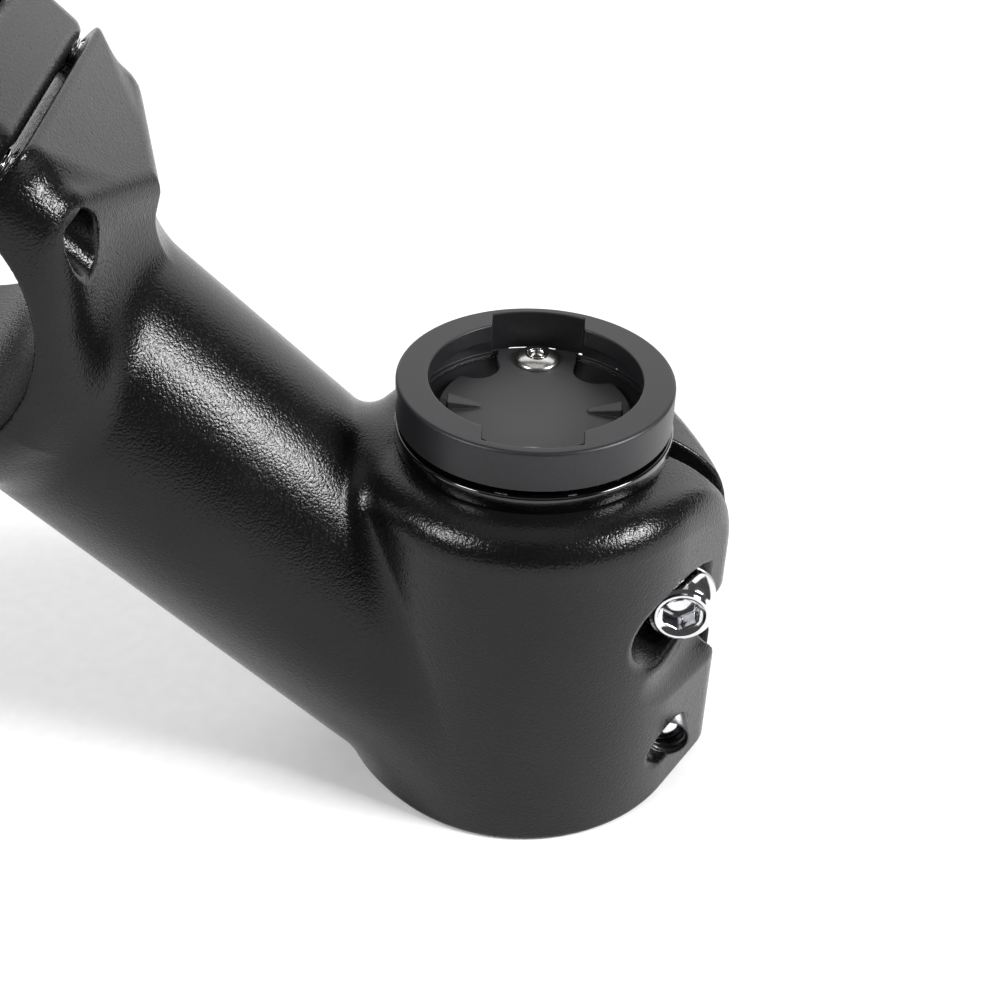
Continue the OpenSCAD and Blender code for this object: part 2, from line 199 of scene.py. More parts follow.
def meshPiece(name, points, faces, body, replaced, slot, material, normals=None):
    mesh = bpy.data.meshes.new(name)
    quads = len(faces)
    sides = faces.shape[1]
    mesh.vertices.add(len(points))
    mesh.vertices.foreach_set("co", (points * mm).astype(np.float32).ravel())
    mesh.loops.add(quads * sides)
    mesh.loops.foreach_set("vertex_index", faces.astype(np.int32).ravel())
    mesh.polygons.add(quads)
    mesh.polygons.foreach_set("loop_start", np.arange(0, quads * sides, sides, dtype=np.int32))
    mesh.update(calc_edges=True)
    mesh.validate()
    mesh.shade_smooth()
    if normals is not None:
        mesh.normals_split_custom_set_from_vertices(normals)
    piece = bpy.data.objects.new(name, mesh)
    bpy.context.scene.collection.objects.link(piece)
    mesh.materials.append(material)
    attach(piece, body)
    if replaced:
        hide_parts(*replaced)
    return piece


def sculpt(name, field, low, high, cell, **finish):
    points, faces = surfaceOf(field, low, high, cell * (1))
    grad = gradients(field, points, cell * 0.2)
    normals = grad / np.maximum(np.linalg.norm(grad, axis=1, keepdims=True), 1e-6)
    piece = meshPiece(name, points, faces, normals=normals, **finish)
    print(name, len(points), "vertices")
    return piece


# ---- turned pieces: rings of points, in a local frame with +Z out of the head ----


def softened(profile, radius, steps=4):  # the same outline with its corners rounded
    pts = [np.array(p, float) for p in profile]
    out = [pts[0]]
    for before, at, after in zip(pts, pts[1:], pts[2:]):
        a, b = before - at, after - at
        la, lb = np.linalg.norm(a), np.linalg.norm(b)
        a, b = a / la, b / lb
        half = math.acos(np.clip(a @ b, -1, 1)) / 2
        if half > 1.5:
            out.append(at)
            continue
        reach = min(radius / math.tan(half), 0.45 * la, 0.45 * lb)
        r = reach * math.tan(half)
        middle = at + (a + b) / np.linalg.norm(a + b) * (r / math.sin(half))
        start, end = at + a * reach - middle, at + b * reach - middle
        sweep = math.pi - 2 * half
        for i in range(steps + 1):
            t = i / steps
            mix = (math.sin((1 - t) * sweep) * start + math.sin(t * sweep) * end) / math.sin(sweep)
            out.append(middle + mix)
    out.append(pts[-1])
    return out


def hexRadius(theta, flats, corner=0.96):  # a hex socket's outline, its corners a little round
    around = (theta + math.pi / 6) % (math.pi / 3) - math.pi / 6
    return np.minimum(flats / 2 / np.cos(around), flats / math.sqrt(3) * corner)


def ringed(name, rings, place, closed=False, **finish):  # skins a stack of equal rings of points
    count = len(rings[0])
    points = np.concatenate(rings)
    stack = len(rings)
    faces = []
    turn = np.arange(count)
    nextTurn = (turn + 1) % count
    for k in range(stack if closed else stack - 1):
        a, b = k * count, ((k + 1) % stack) * count
        faces.append(np.stack([a + turn, a + nextTurn, b + nextTurn, b + turn], 1))
    faces = np.concatenate(faces)
    rotation, origin = place
    points = points @ rotation.T + origin
    return meshPiece(name, points, faces, **finish)


def ringAt(radius, z, theta):
    return np.stack([radius * np.cos(theta), radius * np.sin(theta), z + 0 * theta], 1)


def placeAt(axis, origin):  # +Z along axis, any turn about it
    toAxis = Vector((0, 0, 1)).rotation_difference(Vector(axis)).to_matrix()
    return np.array(toAxis), np.array(origin, float)


def jointPlace(name):  # a hinge's own axis and point
    joint = joints[name]
    return placeAt(joint["axis"], [x / mm for x in joint["pos_m"]])


# ---- materials ----


def tone(hexText):  # sRGB hex to linear
    out = []
    for i in (0, 2, 4):
        c = int(hexText[i:i + 2], 16) / 255
        out.append(c / 12.92 if c <= 0.04045 else ((c + 0.055) / 1.055) ** 2.4)
    return (*out, 1)


def addNode(tree, kind, settings=None, wires=None):
    node = tree.nodes.new(kind)
    for key, value in (settings or {}).items():
        if key in node.inputs:
            node.inputs[key].default_value = value
        else:
            setattr(node, key, value)
    for key, source in (wires or {}).items():
        tree.links.new(source, node.inputs[key])
    return node


def newMaterial(name, **settings):
    material = bpy.data.materials.new(name)
    material.use_nodes = True
    tree = material.node_tree
    shader = tree.nodes["Principled BSDF"]
    for key, value in settings.items():
        shader.inputs[key.replace("_", " ")].default_value = value
    place = addNode(tree, "ShaderNodeTexCoord")
    return material, tree, shader, place.outputs["Object"]


def ramp(tree, source, stops):
    node = addNode(tree, "ShaderNodeValToRGB", wires={"Fac": source})
    elements = node.color_ramp.elements
    for i, (at, colour) in enumerate(stops):
        element = elements[i] if i < 2 else elements.new(at)
        element.position = at
        element.color = colour
    return node.outputs["Color"]


powder = {"colour": "0a0a0b", "lighter": "121213", "grain": 0.27, "height": 0.055,
          "roughness": 0.21, "sheen": 0.24}


def powderCoat():  # fine sandy grain that breaks the light into sparks
    material, tree, shader, place = newMaterial("black powder coat", Specular_IOR_Level=powder["sheen"])
    grain = addNode(tree, "ShaderNodeTexNoise",
                    {"Scale": 1 / (powder["grain"] * mm), "Detail": 1.5, "Roughness": 0.5},
                    {"Vector": place})
    broad = addNode(tree, "ShaderNodeTexNoise", {"Scale": 1 / (9 * mm), "Detail": 2.0}, {"Vector": place})
    shade = ramp(tree, broad.outputs["Fac"],
                 [(0.3, tone(powder["colour"])), (0.75, tone(powder["lighter"]))])
    tree.links.new(shade, shader.inputs["Base Color"])
    rough = addNode(tree, "ShaderNodeMapRange",
                    {"From Min": 0.3, "From Max": 0.7,
                     "To Min": powder["roughness"] - 0.08, "To Max": powder["roughness"] + 0.08},
                    {"Value": grain.outputs["Fac"]})
    tree.links.new(rough.outputs["Result"], shader.inputs["Roughness"])
    bump = addNode(tree, "ShaderNodeBump", {"Strength": 1.0, "Distance": powder["height"] * mm},
                   {"Height": grain.outputs["Fac"]})
    tree.links.new(bump.outputs["Normal"], shader.inputs["Normal"])
    return material


def satinAnodised():  # even dark grey sheen with the faintest turning lines
    material, tree, shader, place = newMaterial("satin black anodised aluminium",
                                                Metallic=0.35, Roughness=0.42)
    grain = addNode(tree, "ShaderNodeTexNoise", {"Scale": 1 / (0.18 * mm), "Detail": 2.0},
                    {"Vector": place})
    rings = addNode(tree, "ShaderNodeTexWave",
                    {"wave_type": "RINGS", "rings_direction": "Z", "Scale": 1 / (0.9 * mm),
                     "Distortion": 0.6, "Detail": 2.0}, {"Vector": place})
    shade = ramp(tree, grain.outputs["Fac"], [(0.3, tone("1b1b1d")), (0.7, tone("242427"))])
    tree.links.new(shade, shader.inputs["Base Color"])
    both = addNode(tree, "ShaderNodeMath", {"operation": "ADD"},
                   {0: grain.outputs["Fac"], 1: rings.outputs["Fac"]})
    bump = addNode(tree, "ShaderNodeBump", {"Strength": 0.4, "Distance": 0.004 * mm},
                   {"Height": both.outputs["Value"]})
    tree.links.new(bump.outputs["Normal"], shader.inputs["Normal"])
    return material


def glossAnodised():  # near-mirror black that draws thin bright lines
    material, tree, shader, place = newMaterial("gloss black anodised aluminium",
                                                Metallic=0.3, Coat_Weight=0.6, Coat_Roughness=0.04)
    cloud = addNode(tree, "ShaderNodeTexNoise", {"Scale": 1 / (3 * mm), "Detail": 3.0}, {"Vector": place})
    shade = ramp(tree, cloud.outputs["Fac"], [(0.3, tone("050505")), (0.7, tone("0b0b0c"))])
    tree.links.new(shade, shader.inputs["Base Color"])
    rough = addNode(tree, "ShaderNodeMapRange", {"To Min": 0.07, "To Max": 0.14},
                    {"Value": cloud.outputs["Fac"]})
    tree.links.new(rough.outputs["Result"], shader.inputs["Roughness"])
    return material


def mouldedNylon():  # dull, lightly spark-eroded plastic
    material, tree, shader, place = newMaterial("moulded black nylon", IOR=1.53)
    grain = addNode(tree, "ShaderNodeTexNoise", {"Scale": 1 / (0.16 * mm), "Detail": 3.0},
                    {"Vector": place})
    shade = ramp(tree, grain.outputs["Fac"], [(0.3, tone("1e1e20")), (0.72, tone("2a2a2c"))])
    tree.links.new(shade, shader.inputs["Base Color"])
    rough = addNode(tree, "ShaderNodeMapRange", {"To Min": 0.45, "To Max": 0.65},
                    {"Value": grain.outputs["Fac"]})
    tree.links.new(rough.outputs["Result"], shader.inputs["Roughness"])
    bump = addNode(tree, "ShaderNodeBump", {"Strength": 0.6, "Distance": 0.012 * mm},
                   {"Height": grain.outputs["Fac"]})
    tree.links.new(bump.outputs["Normal"], shader.inputs["Normal"])
    return material


def nitrileRubber():  # matt, slightly dusty
    material, tree, shader, place = newMaterial("nitrile rubber", IOR=1.52, Roughness=0.75)
    dust = addNode(tree, "ShaderNodeTexNoise", {"Scale": 1 / (0.5 * mm), "Detail": 4.0}, {"Vector": place})
    shade = ramp(tree, dust.outputs["Fac"], [(0.35, tone("0a0a0a")), (0.8, tone("161616"))])
    tree.links.new(shade, shader.inputs["Base Color"])
    return material


def metalFinish(name, dark, light, low, high, grain, height):
    material, tree, shader, place = newMaterial(name, Metallic=1.0)
    cloud = addNode(tree, "ShaderNodeTexNoise", {"Scale": 1 / (grain * mm), "Detail": 3.0},
                    {"Vector": place})
    shade = ramp(tree, cloud.outputs["Fac"], [(0.3, tone(dark)), (0.7, tone(light))])
    tree.links.new(shade, shader.inputs["Base Color"])
    rough = addNode(tree, "ShaderNodeMapRange", {"To Min": low, "To Max": high},
                    {"Value": cloud.outputs["Fac"]})
    tree.links.new(rough.outputs["Result"], shader.inputs["Roughness"])
    bump = addNode(tree, "ShaderNodeBump", {"Strength": 0.5, "Distance": height * mm},
                   {"Height": cloud.outputs["Fac"]})
    tree.links.new(bump.outputs["Normal"], shader.inputs["Normal"])
    return material


coat = powderCoat()
satin = satinAnodised()
gloss = glossAnodised()
nylon = mouldedNylon()
rubber = nitrileRubber()
# polished steel mirrors the studio, stainless is a shade softer, zinc is dull and patchy,
# black oxide keeps a brown-black metal sheen, and the cut threads show tool marks
polished = metalFinish("polished steel", "c9c9cc", "dedee0", 0.06, 0.14, 0.8, 0.001)
stainless = metalFinish("stainless steel", "b9b8b5", "d2d1ce", 0.18, 0.30, 0.3, 0.003)
zinc = metalFinish("zinc plate", "8f9297", "b4b7bb", 0.30, 0.48, 0.25, 0.004)
blackOxide = metalFinish("black oxide steel", "151413", "242220", 0.30, 0.45, 0.3, 0.003)
cutThread = metalFinish("cut aluminium thread", "3a3a3b", "636365", 0.25, 0.45, 0.2, 0.004)
print("materials made")

# ---- stem ----

barMount = mounts["handlebar"]
barCentre = np.array(barMount["pos_m"]) / mm
tubeAngle = math.atan2(*[joints["face_plate_off"]["axis"][i] for i in (2, 0)])
seatOf = {end: np.array(joints[end + "_bolt_turn"]["pos_m"]) / mm for end in ("upper", "lower")}
stem = {
    "bore": mounts["steerer"]["dims"]["r_mm"],
    "clampRadius": 20.4,
    "clampHeight": 43.3,
    "tipRadius": 7.0,
    "tipReach": 16.2,
    "topRounding": 4.4,
    "roundingFall": 0.25,   # per millimetre towards the ears
    "roundingFrom": -10.0,
    "tipRounding": 1.6,     # the same edge, where it comes down to the ears' tip
    "rearRadius": 16.0,     # side view of the ears' top rear corner
    "rearReach": 24.8,
    "tubeRadius": 16.1,
    "tubeFillet": 2.6,
    "tubeStart": 10.0,      # inside the clamp, along the tube from the steerer axis
    "footEdge": 0.7,
    "boreEdge": 0.5,
    "slotEdge": 0.35,
    "pocketEdge": 0.7,
    "holeEdge": 0.45,
    "scoopEdge": 1.2,
    "slot": 3.6,
    "earFloor": 6.4,
    "pocketRadius": 5.4,
    "pocketShift": 0.5,
    "tapRadius": 2.5,
    "boltHole": 2.7,
    "scoopRadius": 5.0,
    "scoopFloor": 19.3,
    "scoopHeight": 19.3,
    "scoopTurn": math.radians(25),
    "cell": 0.28,
}
bar = {
    "bore": barMount["dims"]["r_mm"],
    "outer": 20.4,
    "halfWidth": barMount["dims"]["length_mm"] / 2,
    "gap": 0.6,
    "flange": 8.0,
    "flangeReach": 22.6,
    "flangeCorner": 4.5,
    "flangeBack": 9.5,      # how far the threaded bosses run back from the bar's centre
    "flangeLean": 0.55,     # their backs come down to the tube and fall away at the sides
    "flangeSweep": 0.4,
    "boltReach": 19.2,
    "boltSide": 14.5,
    "facetTop": 24.0,       # triangular facet on each web, at the gap
    "facetFall": 0.338,
    "facetBack": 12.7,
    "facetTip": 4.6,
    "facetSpread": 0.98,
    "neckFillet": 5.0,
    "sideRounding": 4.0,
    "bossEdge": 1.5,
    "bossFillet": 3.0,
    "webLean": 0.35,        # each web's flanks widen downwards by this much
    "flankScale": 0.65,     # turns the flanks' slanted measure into a distance
    "webInset": 0.6,
    "webEdge": 1.2,
    "webNose": 4.0,
    "webFillet": 2.0,
    "gapEdge": 0.3,
    "boreEdge": 0.4,
    "plateReach": 23.0,
    "plateEdge": 1.6,
    "plateFillet": 2.5,
    "pocket": 5.4,
    "windowHalf": 12.3,
    "windowRound": 2.5,
    "plateCell": 0.28,
}


def tubeFrame(x, z):  # along the tube and up from it, measured from the bar's centre
    c, s = math.cos(tubeAngle), math.sin(tubeAngle)
    dx, dz = x - barCentre[0], z - barCentre[2]
    return dx * c + dz * s, -dx * s + dz * c


def forgedStem(x, y, z):
    along, up = tubeFrame(x, z)
    plan = eggPlan(y, -x, stem["clampRadius"], stem["tipRadius"], stem["tipReach"])
    qx = -x - stem["rearReach"] + stem["rearRadius"]
    qz = z - stem["clampHeight"] + stem["rearRadius"]
    side = np.minimum(np.maximum(qx, qz), 0) + np.hypot(np.maximum(qx, 0), np.maximum(qz, 0))
    side -= stem["rearRadius"]
    rounding = np.clip(stem["topRounding"] + stem["roundingFall"] * (x - stem["roundingFrom"]),
                       stem["tipRounding"], stem["topRounding"])
    clamp = bothRound(plan, side, rounding)
    length = barCentre[0] / math.cos(tubeAngle)
    tube = np.hypot(up, y) - stem["tubeRadius"]
    tube = np.maximum(tube, np.maximum(stem["tubeStart"] - along - length, along + bar["bore"] / 2))
    solid = eitherRound(clamp, tube, stem["tubeFillet"])
    # bar clamp, its flanges and webs
    saddle = bothRound(np.hypot(along, up) - bar["outer"], np.abs(y) - bar["halfWidth"], bar["sideRounding"])
    solid = eitherRound(solid, saddle, bar["neckFillet"])
    lift = np.abs(up)
    bosses = roundedBox(up, y, bar["flangeReach"], bar["halfWidth"], bar["flangeCorner"])
    back = -along - bar["flangeBack"] + bar["flangeLean"] * (lift - bar["boltReach"])
    back += bar["flangeSweep"] * (np.abs(y) - bar["boltSide"])
    back /= math.sqrt(1 + bar["flangeLean"] ** 2 + bar["flangeSweep"] ** 2)
    bosses = bothRound(bosses, np.maximum(back, along), bar["bossEdge"])
    solid = eitherRound(solid, bosses, bar["bossFillet"])
    facet = bar["facetTop"] + bar["facetFall"] * along
    half = bar["facetTip"] + bar["facetSpread"] * (along + bar["facetBack"])
    flank = np.abs(y) - half - bar["webLean"] * (facet - lift)
    flank *= bar["flankScale"]
    web = bothRound((lift - facet) / math.hypot(1, bar["facetFall"]), flank, bar["webEdge"])
    web = bothRound(web, -along - bar["facetBack"], bar["webNose"])
    web = bothRound(web, np.maximum(np.abs(y) - bar["halfWidth"] + bar["webInset"], along), bar["webEdge"])
    solid = eitherRound(solid, web, bar["webFillet"])
    # what is machined away afterwards
    solid = bothRound(solid, along + bar["gap"] / 2, bar["gapEdge"])
    solid = bothRound(solid, -z, stem["footEdge"])
    solid = cutRound(solid, np.hypot(along, up) - bar["bore"], bar["boreEdge"])
    bore = np.hypot(x, y) - stem["bore"]
    solid = cutRound(solid, bore, stem["boreEdge"])
    solid = cutRound(solid, np.maximum(np.abs(y) - stem["slot"] / 2, x), stem["slotEdge"])
    for end, out in (("upper", 1), ("lower", -1)):
        seat = seatOf[end]
        axisDistance = np.hypot(x - seat[0], z - seat[2])
        wide = np.hypot(x - seat[0] - stem["pocketShift"], z - seat[2]) - stem["pocketRadius"]
        pocket = np.maximum(wide, stem["earFloor"] - y * out)
        solid = cutRound(solid, pocket, stem["pocketEdge"])
        hole = np.maximum(axisDistance - stem["boltHole"], -y * out)
        tapped = np.maximum(axisDistance - stem["tapRadius"], y * out)
        solid = cutRound(solid, np.minimum(hole, tapped), stem["holeEdge"])
        turn = stem["scoopTurn"]
        flat = x * math.cos(turn) - y * out * math.sin(turn)
        scoop = np.hypot(flat + stem["scoopFloor"] + stem["scoopRadius"], z - stem["scoopHeight"])
        solid = cutRound(solid, scoop - stem["scoopRadius"], stem["scoopEdge"])
    holes = np.hypot(lift - bar["boltReach"], np.abs(y) - bar["boltSide"]) - stem["tapRadius"]
    solid = cutRound(solid, np.maximum(holes, -along - 2 * bar["flange"]), stem["holeEdge"])
    return solid


def facePlate(x, y, z):
    along, up = tubeFrame(x, z)
    lift = np.abs(up)
    solid = bothRound(np.hypot(along, up) - bar["outer"], np.abs(y) - bar["halfWidth"], bar["bossEdge"])
    plate = roundedBox(up, y, bar["plateReach"], bar["halfWidth"], bar["flangeCorner"])
    middle = bar["gap"] / 2 + bar["flange"] / 2
    plate = bothRound(plate, np.abs(along - middle) - bar["flange"] / 2, bar["plateEdge"])
    solid = eitherRound(solid, plate, bar["plateFillet"])
    solid = bothRound(solid, bar["gap"] / 2 - along, bar["gapEdge"])
    solid = cutRound(solid, np.hypot(along, up) - bar["bore"], bar["boreEdge"])
    bolt = np.hypot(lift - bar["boltReach"], np.abs(y) - bar["boltSide"])
    pocket = np.maximum(bolt - bar["pocket"], bar["gap"] / 2 + bar["flange"] - along)
    solid = cutRound(solid, pocket, 0.6)
    solid = cutRound(solid, bolt - stem["boltHole"] - 0.05, 0.4)
    window = roundedBox(up, y, bar["windowHalf"], bar["halfWidth"] / 3, bar["windowRound"])
    return cutRound(solid, np.maximum(window, bar["bore"] / 2 - along), 0.8)


def boxOf(node, pad=1.0):
    low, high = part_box(node)
    return np.array(low) / mm - pad, np.array(high) / mm + pad


sculpt("forged_stem", forgedStem, *boxOf("stem_body"), stem["cell"], body="stem",
       replaced=["stem_body"], slot="powder_coat", material=coat)
sculpt("forged_face_plate", facePlate, *boxOf("face_plate"), bar["plateCell"], body="face_plate",
       replaced=["face_plate"], slot="powder_coat", material=coat)

# ---- clamp and face-plate bolts ----

bolt = {
    "major": 2.42,
    "minor": 1.98,
    "pitch": 0.8,
    "length": 16.0,
    "plain": 1.2,
    "headRadius": 4.25,
    "rimRadius": 3.1,
    "height": 4.0,
    "flats": 4.0,
    "socketDepth": 2.6,
    "segments": 72,
    "perPitch": 10,
    "barThread": (-16.4, -9.8),     # ends of each threaded hole, under the head
    "earThread": (-17.5, -8.9),
}
around = np.arange(bolt["segments"]) * 2 * math.pi / bolt["segments"]


def threadWave(z, theta):  # 0 in the root, 1 on the crest, right-handed
    phase = (z / bolt["pitch"] - theta / (2 * math.pi)) % 1
    return np.clip((0.5 - np.abs(phase - 0.5)) * 3.4 - 0.3, 0, 1)


def boltRings():
    length, pitch = bolt["length"], bolt["pitch"]
    rings = [ringAt(0.02, -length, around), ringAt(bolt["minor"] - 0.25, -length, around)]
    steps = int((length - bolt["plain"]) / pitch * bolt["perPitch"])
    for i in range(steps + 1):
        z = -length + 0.25 + (length - bolt["plain"] - 0.25) * i / steps
        fade = min(1, (z + length) / 0.9) * min(1, (-bolt["plain"] - z) / 0.6 + 0.001)
        radius = bolt["minor"] + (bolt["major"] - bolt["minor"]) * fade * threadWave(z, around)
        rings.append(ringAt(radius, z, around))
    rim, top = bolt["rimRadius"], bolt["height"]
    dome = []
    for i in range(14):
        rise = i / 13
        dome.append((rim + 0.1 + (bolt["headRadius"] - rim - 0.1) * math.sqrt(1 - rise * rise),
                     0.6 + (top - 0.85) * rise))
    head = softened([
        (bolt["major"], -bolt["plain"] + 0.3), (bolt["major"], 0), (bolt["headRadius"], 0),
        *dome, (rim, top), (bolt["flats"] / 2 + 0.78, top), (bolt["flats"] / 2 + 0.3, top - 0.48),
    ], 0.22, 5)
    rings += [ringAt(r, z, around) for r, z in head]
    hexagon = hexRadius(around, bolt["flats"])
    floor = top - bolt["socketDepth"]
    for share, drop in ((0.55, 0.5), (0.97, 0.6), (1, 0.72), (1, 1.4)):
        radius = hexagon * share + (1 - share) * (bolt["flats"] / 2 + 0.3)
        rings.append(ringAt(radius, top - drop, around))
    rings += [ringAt(hexagon, floor + 0.12, around), ringAt(hexagon * 0.97, floor, around),
              ringAt(hexagon * 0.9, floor, around), ringAt(1.2 + 0 * around, floor - 0.05, around),
              ringAt(0.02, floor - 0.3, around)]
    return rings


def sleeveRings(start, end):  # the thread in a tapped hole, as a closed sleeve
    outer = stem["tapRadius"] + 0.25
    steps = int((end - start) / bolt["pitch"] * bolt["perPitch"])
    depth = stem["tapRadius"] - bolt["minor"] - 0.1
    rings = [ringAt(outer, start, around)]
    for i in range(steps + 1):
        z = start + (end - start) * i / steps
        fade = min(1, i / 8, (steps - i) / 8)
        radius = stem["tapRadius"] + 0.04 - depth * fade * (1 - threadWave(z, around))
        rings.append(ringAt(radius, z, around))
    rings.append(ringAt(outer, end, around))
    return rings[::-1]


def washerRings(inner, outer, thick):
    ring = softened([(inner, thick / 2), (inner, thick), (outer, thick), (outer, 0), (inner, 0),
                     (inner, thick / 2)], 0.12, 3)
    return [ringAt(r, z, around) for r, z in ring[:-1]][::-1]


washer = {"inner": 2.75, "outer": 4.3, "thick": 0.5, "play": 0.02}
boltNames = {"upper": "steerer_{}_upper", "lower": "steerer_{}_lower"}
for up in ("upper", "lower"):
    for hand in ("left", "right"):
        boltNames[f"bar_bolt_{up}_{hand}"] = f"bar_{{}}_{up}_{hand}"
for stemName, pattern in boltNames.items():
    onBar = stemName.startswith("bar")
    turnJoint = stemName + "_turn" if onBar else stemName + "_bolt_turn"
    rotation, seat = jointPlace(turnJoint)
    boltBody = joints[turnJoint]["child"]
    washerBody = joints[turnJoint]["parent"]
    boltNode, washerNode = pattern.format("bolt"), pattern.format("washer")
    ringed("threaded_" + boltNode, boltRings(), (rotation, seat), body=boltBody,
           replaced=[boltNode], slot="polished_steel", material=polished)
    under = seat - rotation[:, 2] * (washer["thick"] + washer["play"])
    ringed("plated_" + washerNode, washerRings(washer["inner"], washer["outer"], washer["thick"]),
           (rotation, under), closed=True, body=washerBody, replaced=[washerNode],
           slot="zinc_plate", material=zinc)
    sleeve = bolt["barThread"] if onBar else bolt["earThread"]
    ringed("thread_" + pattern.format("hole"), sleeveRings(*sleeve), (rotation, seat), closed=True,
           body="stem", replaced=[], slot="powder_coat", material=cutThread)
print("bolts made")

# ---- headset cap and computer socket, about the cap's own axis ----

ringLow, ringHigh = boxOf("socket_ring", 0)
baseLow, baseHigh = boxOf("cap_base", 0)
plateLow, plateHigh = boxOf("detent_plate", 0)
capTurn = math.radians(-2.5)
cap = {
    "top": ringHigh[2],
    "ringBottom": baseHigh[2] + 0.4,
    "ringRadius": (ringHigh[1] - ringLow[1]) / 2,
    "lip": 23.3 / 2,
    "lipThick": 2.2,
    "room": 27.3 / 2,
    "notch": 10.5,
    "floorHole": 7.4,
    "floorThick": 1.0,
    "sunk": 13.1,
    "notchDeeper": 0.35,
    "ledge": 0.3,           # closes the gap under the room's wall
    "spigot": 13.7,
    "sealDrop": 1.0,
    "grooveHalf": 0.6,
    "grooveFloor": 13.0,
    "coneTop": 5.9,         # seat of the preload bolt's head
    "coneHeight": 44.3,
    "coneSlope": 0.95,
    "boltHole": 3.1,
    "cell": 0.13,
}
plate = {"thick": 0.8, "lobe": 9.2, "spring": cap["lip"] - 1, "hollow": 2.6, "hollowTurn": 38.7,
         "rampIn": 5.8, "rampOut": 9.6, "rampWidth": 1.9, "rampTip": 0.6, "rampHeight": 1.0,
         "screwCircle": cap["room"] - 3.15, "screwHole": 1.6, "cell": 0.1}


def capFrame(x, y):
    c, s = math.cos(capTurn), math.sin(capTurn)
    return x * c + y * s, -x * s + y * c


def socketRing(x, y, z):
    across = capFrame(x, y)[0]
    radius = np.hypot(x, y)
    top, bottom = cap["top"], cap["ringBottom"]
    solid = bothRound(radius - cap["ringRadius"], np.maximum(z - top, bottom - z), 0.42)
    foot = np.maximum(radius - cap["sunk"], np.maximum(z - bottom - 0.5, bottom - cap["floorThick"] - z))
    solid = np.minimum(solid, foot)
    solid = cutRound(solid, radius - cap["lip"], 0.2)
    solid = np.where(z < bottom + 0.01, np.maximum(foot, cap["floorHole"] - radius), solid)
    under = np.maximum(z - top + cap["lipThick"], radius - cap["room"])
    notch = np.maximum(np.abs(across) - cap["notch"] / 2, radius - cap["room"] - cap["notchDeeper"])
    above = np.maximum(np.minimum(under, notch), bottom + cap["ledge"] - z)
    low = np.maximum(np.maximum(bottom - z, z - bottom - 0.5), radius - cap["sunk"])
    return cutRound(solid, np.minimum(above, low), 0.15)


def detentPlate(x, y, z):
    across, toward = capFrame(x, y)
    radius = np.hypot(x, y)
    height = z - cap["ringBottom"]
    lobes = np.maximum(radius - cap["room"] + 0.25, np.abs(across) - plate["lobe"] / 2)
    outline = np.minimum(lobes, radius - plate["spring"])
    turn = math.radians(plate["hollowTurn"])
    middle = plate["spring"] + 0.35
    hollow = np.hypot(np.abs(across) - middle * math.sin(turn), np.abs(toward) - middle * math.cos(turn))
    outline = bothRound(outline, plate["hollow"] - hollow, 0.5)
    screw = np.hypot(across, np.abs(toward) - plate["screwCircle"])
    outline = bothRound(outline, plate["screwHole"] - screw, 0.1)
    solid = bothRound(outline, np.maximum(height - plate["thick"], -height), 0.16)
    out = np.abs(across)
    share = (out - plate["rampIn"]) / (plate["rampOut"] - plate["rampIn"])
    halfWidth = (plate["rampTip"] + (plate["rampWidth"] - plate["rampTip"]) * share) / 2
    crown = plate["thick"] + 0.25 + (plate["rampHeight"] - 0.25) * share
    ends = np.maximum(plate["rampIn"] - out, out - plate["rampOut"])
    side = bothRound(np.abs(toward) - halfWidth, ends, 0.2)
    wedge = bothRound(side, np.maximum(height - crown, -height), 0.14)
    return np.minimum(solid, wedge)


def capBase(x, y, z):
    radius = np.hypot(x, y)
    low, high = stem["clampHeight"], baseHigh[2]
    solid = bothRound(radius - (baseHigh[1] - baseLow[1]) / 2, np.maximum(z - high, low - z), 0.3)
    spigot = bothRound(radius - cap["spigot"], np.maximum(z - low - 0.5, baseLow[2] - z), 0.3)
    groove = np.maximum(np.abs(z - low + cap["sealDrop"]) - cap["grooveHalf"], cap["grooveFloor"] - radius)
    solid = np.minimum(solid, cutRound(spigot, groove, 0.08))
    recess = np.maximum(radius - cap["sunk"] - 0.1, high - 0.6 - z)
    solid = cutRound(solid, recess, 0.1)
    cone = radius - cap["coneTop"] + (cap["coneHeight"] - z) * cap["coneSlope"]
    cone /= math.hypot(1, cap["coneSlope"])
    bore = np.minimum(radius - cap["boltHole"], np.maximum(cone, radius - cap["coneTop"]))
    return cutRound(solid, bore, 0.1)


def roomy(low, high, pad=0.6):
    return low - pad, high + pad


sculpt("turned_socket_ring", socketRing, *roomy(ringLow, ringHigh), cap["cell"], body="cap",
       replaced=["socket_ring"], slot="satin_anodised", material=satin)
sculpt("moulded_detent_plate", detentPlate, *roomy(plateLow, plateHigh), plate["cell"], body="cap",
       replaced=["detent_plate"], slot="moulded_plastic", material=nylon)
sculpt("turned_cap_base", capBase, *roomy(baseLow, baseHigh), 0.16, body="cap",
       replaced=["cap_base"], slot="gloss_anodised", material=gloss)

screw = {"head": 2.65, "height": 1.0, "flats": 2.0, "shank": 1.45, "length": 4.2, "depth": 0.8}


